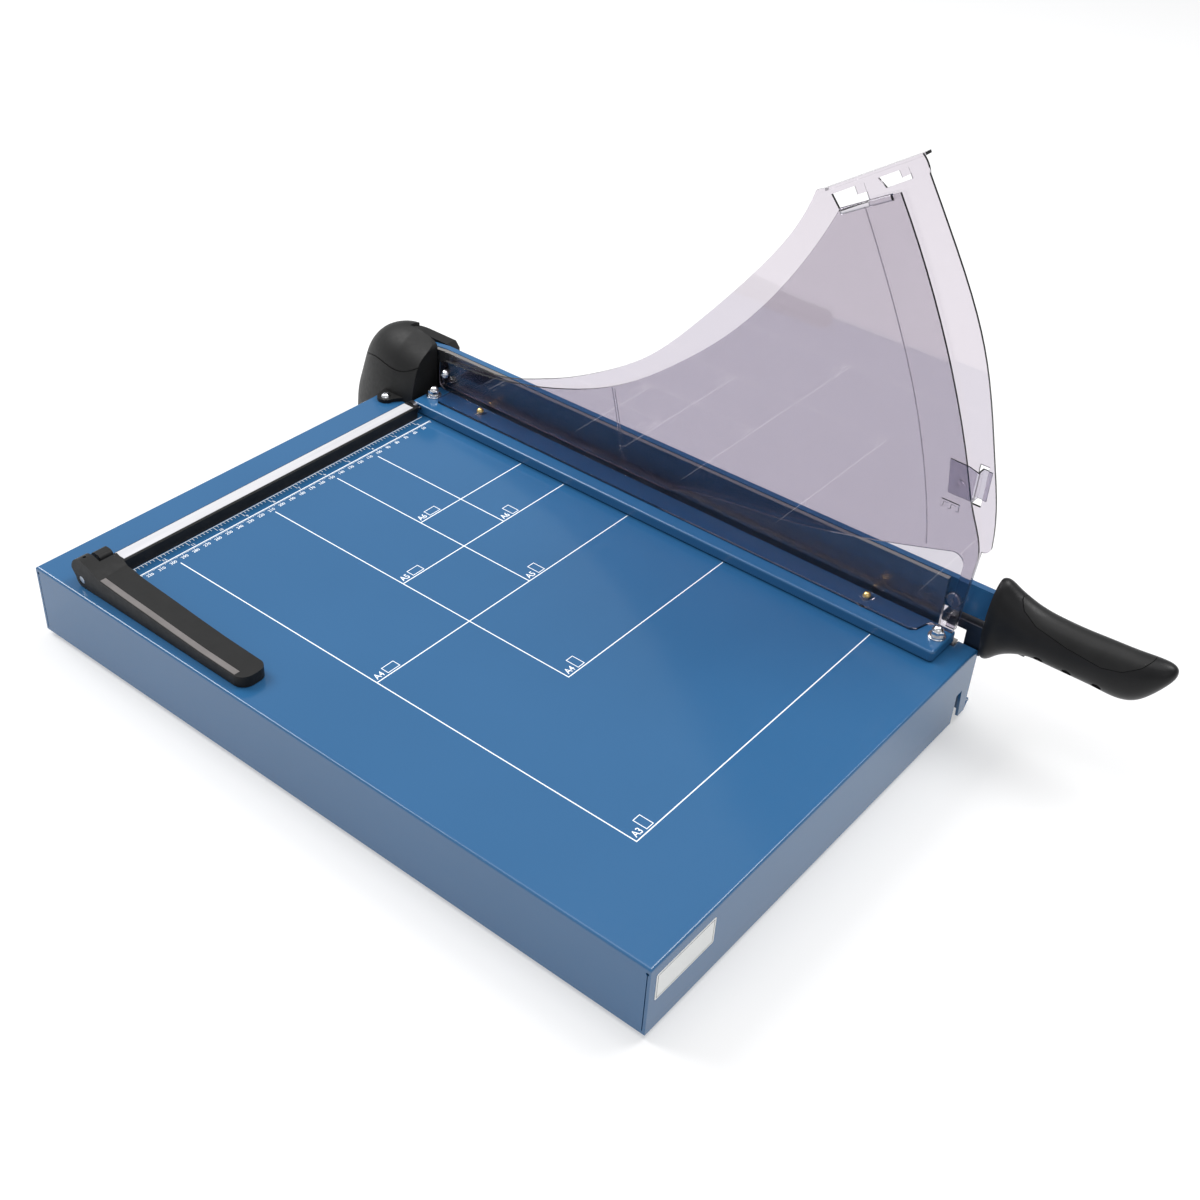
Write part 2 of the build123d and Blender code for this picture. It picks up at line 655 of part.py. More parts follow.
with BuildPart() as clamp_lever:
    with BuildSketch(front(-333.5)):
        with BuildLine():
            Line((shaft_x, 0.3), (158, 0.3))
            Line((158, 0.3), (158, 8.6))
            Line((158, 8.6), (146, 8.6))
            Polyline(*lever_top)
            ThreePointArc((13, 15.2), (6.4, 19.2), (-2, 22.2))
            ThreePointArc((-2, 22.2), (-12.5, 20.6), (-17.2, 12))
            Line((-17.2, 12), (-13.2, shaft_z))
            ThreePointArc((-13.2, shaft_z), (-11.5, 1.95), (shaft_x, 0.3))
        make_face()
    extrude(amount=-333.5 - lever_outer)
    with BuildSketch(level(-1)):
        with BuildLine():
            Line((-20, lever_outer), (145, lever_outer))
            ThreePointArc((145, lever_outer), (152, -356.6), (154.5, -350))
            Line((154.5, -350), (154.5, -344.5))
            ThreePointArc((154.5, -344.5), (152.3, -339.8), (146, -337.6))
            Line((146, -337.6), (30, -336.4))
            Line((30, -336.4), (18, -335.6))
            Line((18, -335.6), (2, -335.6))
            Line((2, -335.6), (2, lever_inner))
            Line((2, lever_inner), (-20, lever_inner))
            Line((-20, lever_inner), (-20, lever_outer))
        make_face()
    extrude(amount=30, mode=Mode.INTERSECT)
    # round clearance for the bearing block
    rod_y(shaft_x, shaft_z, lever_inner, -330, 15.0, Mode.SUBTRACT)
    # seat for the inlaid strip
    add(strip_form(1.4, 5.0, 0.1), mode=Mode.SUBTRACT)
    rod_y(shaft_x, shaft_z, lever_outer - 1, lever_inner + 1, shaft_r, Mode.SUBTRACT)
    post(shaft_x, -354.5, shaft_z, 30, 1.25, Mode.SUBTRACT)
save(clamp_lever.part, "clamp_lever")

with BuildPart() as lever_inlay:
    add(strip_form(1.4, 0.1, 0))
save(lever_inlay.part, "lever_inlay")

with BuildPart() as torsion_shaft:
    rod_y(shaft_x, shaft_z, lever_outer + 0.4, -42.1, shaft_r)
    post(shaft_x, -354.5, shaft_z - 4, shaft_z + 4, 1.25, Mode.SUBTRACT)
save(torsion_shaft.part, "torsion_shaft")

with BuildPart() as lever_pin:
    post(shaft_x, -354.5, shaft_z - 2.8, 19.5, 1.23)
save(lever_pin.part, "lever_pin")

with BuildPart() as crank_disc:
    rod_y(shaft_x, shaft_z, -42.1, -38.6, 5.5)
    rod_y(shaft_x + crank, shaft_z, -38.7, -34.5, crank_pin_r)
save(crank_disc.part, "crank_disc")

# ---------------------------------------------------------------- press bar group

with BuildPart() as press_bar:
    block(bar_left, bar_right, bar_front, bar_back, bar_low, bar_top)
    fillet(press_bar.edges().filter_by(Axis.Z), radius=3.0)
    fillet(press_bar.faces().sort_by(Axis.Z)[-1].edges(), radius=1.6)
    block(bar_left + 2, bar_right - 2, bar_front + 2, bar_back - 2, bar_low - 1, bar_top - 2,
          Mode.SUBTRACT)
    block(shaft_x + 1.0, shaft_x + 6.0, bar_front - 1, bar_front + 3, 4.4, 7.6, Mode.SUBTRACT)
    for stud_x in stud_places:
        post(stud_x, stud_y, 5, 10, stud_r + 0.02, Mode.SUBTRACT)
    for screw_x in guard_screw_xs:
        post(screw_x, -14.0, 5, 10, 1.75, Mode.SUBTRACT)
save(press_bar.part, "press_bar")

with BuildPart() as press_pad:
    block(4, 455, -33.9, -28.4, 0.02, bar_top - 2.02)
save(press_pad.part, "press_pad")

with BuildPart() as press_studs:
    for stud_x in stud_places:
        post(stud_x, stud_y, -28, 14, stud_r)
save(press_studs.part, "press_studs")

with BuildPart() as press_beam:
    block(-12, 470, -25.2, -14.0, -22, -16)
    fillet(press_beam.edges().filter_by(Axis.Z), radius=3.0)
    for stud_x in stud_places:
        post(stud_x, stud_y, -23, -15, stud_r + 0.02, Mode.SUBTRACT)
save(press_beam.part, "press_beam")

with BuildPart() as beam_nuts:
    for stud_x in stud_places:
        for low in (-15.95, -25.6):
            with BuildSketch(level(low)):
                with Locations((stud_x, stud_y)):
                    RegularPolygon(4.6, 6)
            extrude(amount=3.5)
        post(stud_x, stud_y, -30, -10, stud_r + 0.02, Mode.SUBTRACT)
save(beam_nuts.part, "beam_nuts")

with BuildPart() as stud_guides:
    for stud_x in stud_places:
        post(stud_x, stud_y, -8, 0, 4.5)
        post(stud_x, stud_y, -4.5, -sheet, 6.5)
        post(stud_x, stud_y, -10, 1, stud_r + 0.06, Mode.SUBTRACT)
save(stud_guides.part, "stud_guides")

with BuildPart() as press_springs:
    for stud_x in stud_places:
        with BuildLine(Plane((x0 + stud_x, y0 + stud_y, z0 + 0.6))) as coil:
            Helix(pitch=1.62, height=5.7, radius=4.0)
        with BuildSketch(Plane(coil.wire() @ 0, z_dir=coil.wire() % 0)):
            Circle(0.45)
        sweep(path=coil.wire(), is_frenet=True)
save(press_springs.part, "press_springs")

with BuildPart() as stud_washers:
    for stud_x in stud_places:
        post(stud_x, stud_y, bar_top, bar_top + 1, 6.2)
        post(stud_x, stud_y, bar_top - 1, bar_top + 2, stud_r + 0.1, Mode.SUBTRACT)
save(stud_washers.part, "stud_washers")

with BuildPart() as cap_nuts:
    for stud_x in stud_places:
        post(stud_x, stud_y, bar_top + 1, bar_top + 2.2, 5.6)
        with BuildSketch(level(bar_top + 2.1)):
            with Locations((stud_x, stud_y)):
                RegularPolygon(4.6, 6)
        extrude(amount=3.4)
        with Locations((x0 + stud_x, y0 + stud_y, z0 + bar_top + 5.0)):
            Sphere(3.9)
        post(stud_x, stud_y, 4, bar_top + 1, 6, Mode.SUBTRACT)
        post(stud_x, stud_y, 4, 14.02, stud_r + 0.02, Mode.SUBTRACT)
save(cap_nuts.part, "cap_nuts")

# ---------------------------------------------------------------- transparent guards

with BuildPart() as front_guard:
    with BuildSketch(front(guard_back)):
        with BuildLine():
            Line((3, flange_low), (466, flange_low))
            Line((466, flange_low), (471, 72))
            Spline((471, 72), (469, 84), (461, 103), (456.5, 115))
            ThreePointArc((456.5, 115), (421, 205), (371, 293))
            Line((371, 293), (332, 270.5))
            Spline((332, 270.5), (300, 208.5), (264, 161), (220, 119), (171, 83), (120, 60),
                   (69, 45.5), (30, 39.5), (-1, 37.5))
            ThreePointArc((-1, 37.5), (-6.5, 35), (-8.5, 30))
            Line((-8.5, 30), (-8.5, 18))
            ThreePointArc((-8.5, 18), (-6.2, 12.8), (-1, 11.05))
            Line((-1, 11.05), (3, 11.05))
            Line((3, 11.05), (3, flange_low))
        make_face()
    extrude(amount=guard_back - guard_front)
    # rolled upper edge
    with BuildSketch(Plane(origin=(x0 + 334, y0 + guard_front - 0.6, z0 + 270.2),
                           z_dir=(34, 0, 19.7))):
        Circle(2.2)
    extrude(amount=38)
    # flange on the press bar, cut back round the right nut
    with BuildSketch(level(flange_low)):
        with BuildLine():
            Polyline((3, guard_front + 1), (3, -22), (6, -25), (442, -25), (446, -22), (449, -11),
                     (452, guard_front - 1), (466, guard_front - 1), (466, guard_front + 1),
                     close=True)
        make_face()
    extrude(amount=flange_top - flange_low)
    for screw_x in guard_screw_xs:
        post(screw_x, -14.0, flange_top - 1, flange_top + 0.5, 5.2)
        post(screw_x, -14.0, flange_low - 1, flange_top + 2, 1.8, Mode.SUBTRACT)
    # moulded catch under the clip
    block(438, 451, guard_front - 1.2, guard_front, 104.6, 106.2)
    for leg_x in (438, 443.6, 449.2):
        block(leg_x, leg_x + 1.8, guard_front - 1.2, guard_front, 100.8, 105.6)
    rod_y(-1.5, 26, guard_front - 1, guard_back + 1, 2.1, Mode.SUBTRACT)
save(front_guard.part, "front_guard")

with BuildPart() as rear_guard:
    with BuildSketch(front(ext_back)):
        with BuildLine():
            Line((-7, 13.5), (221, 13.5))
            Spline((221, 13.5), (252, 23), (302, 30.5), (341, 37), (400, 52), (452, 68.5))
            ThreePointArc((452, 68.5), (459, 66.5), (461.5, 60))
            Line((461.5, 60), (459, 10))
            Line((459, 10), (466, 10))
            Line((466, 10), (471, 76.5))
            ThreePointArc((471, 76.5), (474.5, 77.6), (477, 83))
            Spline((477, 83), (473.5, 112), (466, 141), (443, 213), (404, 281), (386, 308))
            ThreePointArc((386, 308), (384, 313), (379, 318.5))
            Line((379, 318.5), (319, 279.5))
            Line((319, 279.5), (312, 276))
            Spline((312, 276), (305, 256), (278, 212), (235, 158), (192, 113), (151, 85),
                   (113, 65), (94, 57), (56, 44), (20, 39.5), (-2, 35))
            ThreePointArc((-2, 35), (-5.6, 33), (-7, 29))
            Line((-7, 29), (-7, 13.5))
        make_face()
    extrude(amount=ext_back - ext_front)
    # upper lip turned to the back
    with BuildSketch(front(ext_back + 7)):
        Polygon((317, 278.3), (379.6, 319.0), (380.6, 317.4), (318, 276.6), align=None)
    extrude(amount=7)
    # two windows with snap tabs
    with BuildSketch(front(ext_back + 1)):
        Polygon((323, 276.5), (344, 290.2), (351.5, 277.5), (331, 267.5), align=None)
        Polygon((352.5, 295.8), (371.5, 308.2), (375.5, 302), (359.5, 291.5), align=None)
    extrude(amount=6, mode=Mode.SUBTRACT)
    with BuildSketch(front(ext_back)):
        Polygon((337, 287), (343.6, 291.4), (347.2, 285.4), (340.6, 281.4), align=None)
        Polygon((365, 305), (371.2, 309), (373.8, 304.6), (368.4, 300.4), align=None)
    extrude(amount=1.2)
    # passage for the clip
    block(456.8, 463.5, -6, -1, 108, 138, Mode.SUBTRACT)
    rod_y(-1.5, 26, -6, -1, 2.1, Mode.SUBTRACT)
save(rear_guard.part, "rear_guard")

with BuildPart() as guard_clip:
    with BuildSketch(front(clip_back)):
        Polygon((441.5, 112.5), (459.4, 112.5), (459.4, 134), (452, 136), (438.5, 136.5),
                align=None)
    extrude(amount=1.2)
    block(458.2, 459.4, clip_back - 1.2, -0.9, 112.5, 134)
    block(458.2, 465.5, -2.1, -0.9, 112.5, 134)
    rod_y(448.5, 122, clip_back - 2.2, clip_back - 1, 3.0)
    rod_y(448.5, 122, clip_back - 2.6, clip_back - 1.6, 1.6, Mode.SUBTRACT)
    for rivet_z in (114, 131.5):
        rod_y(446.5, rivet_z, clip_back - 1.6, clip_back - 1, 1.1)
save(guard_clip.part, "guard_clip")

with BuildPart() as guard_screws:
    for screw_x in guard_screw_xs:
        with Locations((x0 + screw_x, y0 - 14.0, z0 + flange_top + 0.5)):
            Sphere(3.0)
        post(screw_x, -14.0, flange_top - 4, flange_top + 0.5, 4, Mode.SUBTRACT)
        post(screw_x, -14.0, 4.6, flange_top + 0.6, 1.7)
        block(screw_x - 4, screw_x + 4, -14.35, -13.65, flange_top + 2.3, flange_top + 5,
              Mode.SUBTRACT)
save(guard_screws.part, "guard_screws")

with BuildPart() as guard_screw_nuts:
    for screw_x in guard_screw_xs:
        with BuildSketch(level(4.9)):
            with Locations((screw_x, -14.0)):
                RegularPolygon(3.4, 6)
        extrude(amount=2.08)
        post(screw_x, -14.0, 4, 8, 1.7, Mode.SUBTRACT)
save(guard_screw_nuts.part, "guard_screw_nuts")

with BuildPart() as end_screw:
    with Locations((x0 - 1.5, y0 + guard_front, z0 + 26)):
        Sphere(3.6)
    rod_y(-1.5, 26, guard_front, 0, 5, Mode.SUBTRACT)
    rod_y(-1.5, 26, guard_front - 0.1, -0.6, 2.0)
    block(-4.2, 1.2, -20, guard_front - 2.4, 25.5, 26.5, Mode.SUBTRACT)
    block(-2.0, -1.0, -20, guard_front - 2.4, 23.3, 28.7, Mode.SUBTRACT)
save(end_screw.part, "end_screw")

with BuildPart() as end_spacer:
    rod_y(-1.5, 26, guard_back, ext_front, 4.2)
    rod_y(-1.5, 26, ext_back, -0.6, 4.2)
    rod_y(-1.5, 26, -8, 0, 2.0, Mode.SUBTRACT)
save(end_spacer.part, "end_spacer")
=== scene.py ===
import json
from math import cos, radians, sin

import bmesh
import bpy
from mathutils import Matrix, Vector


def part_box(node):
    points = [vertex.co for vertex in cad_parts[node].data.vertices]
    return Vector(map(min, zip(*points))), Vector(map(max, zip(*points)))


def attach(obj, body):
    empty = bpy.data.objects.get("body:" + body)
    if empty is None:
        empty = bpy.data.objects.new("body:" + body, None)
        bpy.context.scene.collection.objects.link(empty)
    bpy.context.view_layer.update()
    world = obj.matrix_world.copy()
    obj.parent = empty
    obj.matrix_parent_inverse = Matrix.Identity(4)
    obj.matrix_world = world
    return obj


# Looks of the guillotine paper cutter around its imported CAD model. Lengths are written in
# millimetres from the cut: x from the paper stop's face, y from the cutting edge (the table is
# at negative y), z from the table top. at() turns them into the row frame's metres.

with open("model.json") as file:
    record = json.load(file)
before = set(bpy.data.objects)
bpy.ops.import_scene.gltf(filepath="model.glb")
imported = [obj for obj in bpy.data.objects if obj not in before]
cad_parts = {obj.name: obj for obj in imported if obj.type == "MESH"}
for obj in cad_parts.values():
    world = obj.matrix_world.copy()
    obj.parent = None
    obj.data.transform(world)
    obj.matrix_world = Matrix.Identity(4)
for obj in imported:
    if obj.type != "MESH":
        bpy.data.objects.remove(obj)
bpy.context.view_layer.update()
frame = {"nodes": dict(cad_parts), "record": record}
nodes = frame["nodes"]

MM = 0.001
# clearance between the lower knife and the cut
KNIFE_GAP = 0.05
stop_low, stop_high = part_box("stop_bar")
knife_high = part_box("counter_blade")[1]
CUT = Vector((stop_high.x, knife_high.y + KNIFE_GAP * MM, stop_low.z))


def at(x, y, z):
    """The place in the row frame of a point given in millimetres from the cut."""
    return CUT + Vector((x, y, z)) * MM


# ---------------------------------------------------------------- camera, floor and light


def add_camera():
    azimuth, elevation, roll = radians(36.476), radians(37.044), radians(3.784)
    back = Vector((sin(azimuth) * cos(elevation), -cos(azimuth) * cos(elevation), sin(elevation)))
    level_right = Vector((0, 0, 1)).cross(back).normalized()
    level_up = back.cross(level_right)
    right = level_right * cos(roll) + level_up * sin(roll)
    up = level_up * cos(roll) - level_right * sin(roll)
    data = bpy.data.cameras.new("camera")
    data.lens = 47.51
    data.sensor_width = 36.0
    data.clip_end = 50.0
    camera = bpy.data.objects.new("camera", data)
    turn = Matrix((right, up, back)).transposed()
    camera.matrix_world = Matrix.Translation(at(779.2, -833.7, 659.0)) @ turn.to_4x4()
    bpy.context.scene.collection.objects.link(camera)
    bpy.context.scene.camera = camera


def add_area_light(name, place, target, width, height, power):
    data = bpy.data.lights.new(name, "AREA")
    data.shape = "RECTANGLE"
    data.size = width
    data.size_y = height
    data.energy = power
    light = bpy.data.objects.new(name, data)
    light.location = place
    light.rotation_euler = (Vector(target) - Vector(place)).to_track_quat("-Z", "Y").to_euler()
    bpy.context.scene.collection.objects.link(light)


def add_world():
    world = bpy.data.worlds.new("studio")
    world.use_nodes = True
    background = world.node_tree.nodes["Background"]
    background.inputs["Color"].default_value = (0.97, 0.98, 1.0, 1.0)
    background.inputs["Strength"].default_value = 0.50
    bpy.context.scene.world = world


def add_floor():
    half = 6.0
    mesh = bpy.data.meshes.new("floor")
    corners = [(-half, -half, 0), (half, -half, 0), (half, half, 0), (-half, half, 0)]
    mesh.from_pydata(corners, [], [(0, 1, 2, 3)])
    floor = bpy.data.objects.new("floor", mesh)
    bpy.context.scene.collection.objects.link(floor)
    material = bpy.data.materials.new("floor_white")
    material.use_nodes = True
    shader = material.node_tree.nodes["Principled BSDF"]
    shader.inputs["Base Color"].default_value = (0.46, 0.46, 0.46, 1.0)
    shader.inputs["Roughness"].default_value = 0.7
    shader.inputs["Emission Color"].default_value = (1.0, 1.0, 1.0, 1.0)
    shader.inputs["Emission Strength"].default_value = 0.42
    mesh.materials.append(material)


def add_stage():
    add_camera()
    add_world()
    add_floor()
    centre = (0.0, 0.0, 0.1)
    add_area_light("key_light", (-1.9, -0.4, 2.0), centre, 1.4, 1.4, 54)
    add_area_light("front_fill", (1.8, -2.2, 2.0), centre, 2.4, 1.6, 8)
    add_area_light("top_light", (-0.3, 0.1, 2.8), centre, 2.2, 2.2, 24)
    add_area_light("back_light", (0.6, 1.2, 2.2), centre, 1.1, 1.1, 30)
    bpy.context.scene.view_settings.view_transform = "Standard"


# ---------------------------------------------------------------- materials

# scales of a grain that is drawn out along the cut or along the paper stop
ALONG_CUT = (0.02, 1, 1)
ALONG_STOP = (1, 0.02, 1)


class Shader:
    """A Principled material with the few procedural helpers that the surfaces share."""

    def __init__(self, name, roughness=0.4, metallic=0.0, **sockets):
        self.material = bpy.data.materials.new(name)
        self.material.use_nodes = True
        self.tree = self.material.node_tree
        self.bsdf = self.tree.nodes["Principled BSDF"]
        self.bsdf.inputs["Roughness"].default_value = roughness
        self.bsdf.inputs["Metallic"].default_value = metallic
        for label, value in sockets.items():
            self.bsdf.inputs[label.replace("_", " ")].default_value = value
        self.coordinates = self.tree.nodes.new("ShaderNodeTexCoord").outputs["Object"]

    def link(self, source, target):
        self.tree.links.new(source, target)

    def noise(self, scale, detail=2.0, roughness=0.5, stretch=(1, 1, 1)):
        mapping = self.tree.nodes.new("ShaderNodeMapping")
        mapping.inputs["Scale"].default_value = stretch
        self.link(self.coordinates, mapping.inputs["Vector"])
        texture = self.tree.nodes.new("ShaderNodeTexNoise")
        texture.inputs["Scale"].default_value = scale
        texture.inputs["Detail"].default_value = detail
        texture.inputs["Roughness"].default_value = roughness
        self.link(mapping.outputs["Vector"], texture.inputs["Vector"])
        return texture.outputs["Fac"]

    def spread(self, value, low, high):
        ranged = self.tree.nodes.new("ShaderNodeMapRange")
        ranged.inputs["From Min"].default_value = 0.3
        ranged.inputs["From Max"].default_value = 0.7
        ranged.inputs["To Min"].default_value = low
        ranged.inputs["To Max"].default_value = high
        self.link(value, ranged.inputs["Value"])
        return ranged.outputs["Result"]

    def colour(self, value, first, second):
        mix = self.tree.nodes.new("ShaderNodeMix")
        mix.data_type = "RGBA"
        mix.inputs[6].default_value = (*first, 1.0)
        mix.inputs[7].default_value = (*second, 1.0)
        self.link(self.spread(value, 0.0, 1.0), mix.inputs["Factor"])
        self.link(mix.outputs[2], self.bsdf.inputs["Base Color"])

    def rough(self, value, low, high):
        self.link(self.spread(value, low, high), self.bsdf.inputs["Roughness"])

    def bump(self, value, strength, distance):
        node = self.tree.nodes.new("ShaderNodeBump")
        node.inputs["Strength"].default_value = strength
        node.inputs["Distance"].default_value = distance
        self.link(value, node.inputs["Height"])
        self.link(node.outputs["Normal"], self.bsdf.inputs["Normal"])


def make_blue_paint():
    """Semi-gloss powder coat: nearly even blue with a fine orange peel."""
    paint = Shader("blue_paint", IOR=1.6)
    paint.colour(paint.noise(7.0), (0.020, 0.100, 0.228), (0.023, 0.107, 0.242))
    paint.rough(paint.noise(420.0, detail=2.0), 0.14, 0.17)
    paint.bump(paint.noise(900.0, detail=2.0), 0.06, 0.04 * MM)
    return paint.material


def make_moulded(name, base, low, high, grain, depth):
    """Injection-moulded plastic with a fine eroded texture, depth millimetres deep."""
    plastic = Shader(name, Specular_IOR_Level=0.22)
    lighter = tuple(channel * 1.35 for channel in base)
    plastic.colour(plastic.noise(60.0, detail=4.0), base, lighter)
    plastic.rough(plastic.noise(300.0, detail=3.0), low, high)
    plastic.bump(plastic.noise(grain, detail=2.0), 0.25, depth * MM)
    return plastic.material


def make_metal(name, base, low, high, scale, depth, stretch=(1, 1, 1)):
    """Metal with a fine grain depth millimetres deep, drawn out where stretch is small."""
    metal = Shader(name, metallic=1.0)
    darker = tuple(channel * 0.94 for channel in base)
    lines = metal.noise(scale, detail=4.0, roughness=0.6, stretch=stretch)
    metal.colour(lines, darker, base)
    metal.rough(lines, low, high)
    metal.bump(lines, 0.15, depth * MM)
    return metal.material


def make_rubber():
    rubber = Shader("black_rubber")
    rubber.colour(rubber.noise(90.0), (0.012, 0.012, 0.012), (0.022, 0.022, 0.021))
    rubber.rough(rubber.noise(240.0), 0.62, 0.78)
    rubber.bump(rubber.noise(1800.0), 0.3, 0.1 * MM)
    return rubber.material


def make_foil():
    """Satin silver foil let into the paper stop."""
    foil = Shader("silver_foil", metallic=0.35)
    foil.colour(foil.noise(400.0, stretch=ALONG_STOP), (0.64, 0.64, 0.67), (0.70, 0.70, 0.72))
    foil.rough(foil.noise(900.0, stretch=ALONG_STOP), 0.30, 0.38)
    return foil.material


def make_ink(name, base, ink_roughness):
    ink = Shader(name)
    lighter = tuple(min(1.0, channel * 1.06) for channel in base)
    ink.colour(ink.noise(900.0, detail=3.0), base, lighter)
    ink.rough(ink.noise(500.0), ink_roughness, ink_roughness + 0.1)
    return ink.material


def make_smoked(name, tint, low, high):
    """Smoked acrylic. Lamps see a plain tinted film in its place, so it throws a pale shadow."""
    glass = Shader(name, IOR=1.49, Transmission_Weight=1.0, Specular_IOR_Level=0.2)
    deeper = tuple(channel * 0.985 for channel in tint)
    glass.colour(glass.noise(5.0), deeper, tint)
    glass.rough(glass.noise(30.0, detail=3.0), low, high)
    film = glass.tree.nodes.new("ShaderNodeBsdfTransparent")
    film.inputs["Color"].default_value = (*tint, 1.0)
    path = glass.tree.nodes.new("ShaderNodeLightPath")
    mix = glass.tree.nodes.new("ShaderNodeMixShader")
    output = glass.tree.nodes["Material Output"]
    glass.link(path.outputs["Is Shadow Ray"], mix.inputs["Fac"])
    glass.link(glass.bsdf.outputs["BSDF"], mix.inputs[1])
    glass.link(film.outputs["BSDF"], mix.inputs[2])
    glass.link(mix.outputs["Shader"], output.inputs["Surface"])
    return glass.material


def make_materials():
    return {
        "blue_paint": make_blue_paint(),
        "black_matte": make_moulded("black_matte", (0.009, 0.009, 0.009), 0.46, 0.54, 2600, 0.08),
        "black_satin": make_moulded("black_satin", (0.007, 0.007, 0.0075), 0.34, 0.40, 1500, 0.04),
        "grip_soft": make_moulded("grip_soft", (0.010, 0.010, 0.010), 0.36, 0.44, 1900, 0.06),
        "grey_inlay": make_moulded("grey_inlay", (0.135, 0.125, 0.122), 0.40, 0.48, 1200, 0.05),
        "knife_steel": make_metal(
            "knife_steel", (0.60, 0.57, 0.545), 0.22, 0.27, 900, 0.02, ALONG_CUT),
        "zinc_steel": make_metal("zinc_steel", (0.58, 0.60, 0.62), 0.24, 0.36, 300, 0.03),
        "dark_screw": make_metal("dark_screw", (0.09, 0.09, 0.10), 0.28, 0.38, 300, 0.03),
        "bright_nut": make_metal("bright_nut", (0.80, 0.81, 0.83), 0.05, 0.09, 200, 0.01),
        "brass_screw": make_metal("brass_screw", (0.72, 0.52, 0.22), 0.18, 0.28, 400, 0.02),
        "sintered_brass": make_metal("sintered_brass", (0.42, 0.28, 0.10), 0.40, 0.50, 1500, 0.1),
        "black_rubber": make_rubber(),
        "silver_foil": make_foil(),
        "label_film": make_ink("label_film", (0.74, 0.75, 0.74), 0.35),
        "label_border": make_ink("label_border", (0.03, 0.03, 0.03), 0.4),
        "white_ink": make_ink("white_ink", (0.82, 0.85, 0.88), 0.4),
        "smoked_acrylic": make_smoked("smoked_acrylic", (0.700, 0.655, 0.705), 0.01, 0.03),
        "smoked_front": make_smoked("smoked_front", (0.650, 0.620, 0.665), 0.01, 0.03),
        "smoked_clip": make_smoked("smoked_clip", (0.56, 0.53, 0.60), 0.05, 0.09),
    }


# ---------------------------------------------------------------- finish of the CAD nodes

# material of each record slot
SLOT_MATERIALS = {
    "foot_rubber": "black_rubber",
    "pad_rubber": "black_rubber",
    "silver_strip": "silver_foil",
    "label_white": "label_film",
    "smoked_guard": "smoked_acrylic",
}

# nodes that look unlike the rest of their slot
NODE_MATERIALS = {
    "front_guard": "smoked_front",
    "housing_screws": "bright_nut",
    "crank_disc": "dark_screw",
    "blade_screws": "knife_steel",
}

# width in millimetres of the rounded edges of the larger nodes
EDGE_WIDTHS = {
    "table_base": 0.35,
    "press_bar": 0.3,
    "stop_bar": 0.3,
    "lever_bracket": 0.6,
    "clamp_lever": 0.8,
    "lever_inlay": 0.2,
    "pivot_housing": 0.8,
    "rear_cover": 0.5,
    "blade_arm": 0.45,
    "cutting_blade": 0.12,
    "counter_blade": 0.12,
    "handle_tang": 0.5,
    "handle_body": 0.5,
    "grip_inlay": 0.4,
    "front_guard": 0.3,
    "rear_guard": 0.3,
    "guard_clip": 0.2,
    "rear_flange": 0.2,
    "cap_nuts": 0.25,
    "stud_washers": 0.15,
    "pivot_bracket": 0.5,
    "press_beam": 0.4,
    "arm_stop": 0.4,
}


def round_edges(node, width):
    """Merges the mesh's split faces into whole ones and rounds the edges between them."""
    weld = node.modifiers.new("weld", "WELD")
    weld.merge_threshold = 0.002 * MM
    flat = node.modifiers.new("flat", "DECIMATE")
    flat.decimate_type = "DISSOLVE"
    flat.angle_limit = radians(0.4)
    bevel = node.modifiers.new("edges", "BEVEL")
    bevel.width = width * MM
    bevel.segments = 3
    bevel.limit_method = "ANGLE"
    bevel.angle_limit = radians(32)
    normals = node.modifiers.new("normals", "WEIGHTED_NORMAL")
    normals.keep_sharp = True
    node.data.polygons.foreach_set("use_smooth", [True] * len(node.data.polygons))


def finish_cad_nodes(materials):
    for part in frame["record"]["subparts"]:
        node = nodes[part["node"]]
        slot = part["material_slot"]
        name = NODE_MATERIALS.get(part["node"], SLOT_MATERIALS.get(slot, slot))
        material = materials[name]
        node.data.materials.clear()
        node.data.materials.append(material)
        if part["node"] in EDGE_WIDTHS:
            round_edges(node, EDGE_WIDTHS[part["node"]])


# ---------------------------------------------------------------- print on the table

# thickness of the ink and of the ink under a crossing line, width of the format lines
INK = 0.04
UNDER_INK = 0.036
LINE = 0.8


def add_mesh_piece(name, mesh_data, material, body):
    mesh = bpy.data.meshes.new(name)
    mesh_data.to_mesh(mesh)
    mesh_data.free()
    mesh.materials.append(material)
    piece = bpy.data.objects.new(name, mesh)
    bpy.context.scene.collection.objects.link(piece)
    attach(piece, body)


def add_block(mesh_data, inner_places, outer_places):
    """A closed block between a ring of four places on the surface and one above it."""
    inner = [mesh_data.verts.new(place) for place in inner_places]
    outer = [mesh_data.verts.new(place) for place in outer_places]
    mesh_data.faces.new(reversed(inner))
    mesh_data.faces.new(outer)
    for first in range(4):
        second = (first + 1) % 4
        mesh_data.faces.new((inner[first], inner[second], outer[second], outer[first]))


def add_slab(mesh_data, x1, x2, y1, y2, top=INK):
    """A flat block of ink on the table top."""
    ring = ((x1, y1), (x2, y1), (x2, y2), (x1, y2))
    add_block(mesh_data, [at(x, y, 0.0) for x, y in ring], [at(x, y, top) for x, y in ring])


def add_frame_lines(mesh_data, x1, x2, y1, y2, width):
    """The four sides of a rectangle, each drawn width wide on its inner side."""
    add_slab(mesh_data, x1, x2, y1, y1 + width)
    add_slab(mesh_data, x1, x2, y2 - width, y2)
    add_slab(mesh_data, x1, x1 + width, y1 + width, y2 - width)
    add_slab(mesh_data, x2 - width, x2, y1 + width, y2 - width)


# height of a capital letter of the built-in font, as a share of its size
CAPITAL_SHARE = 0.69


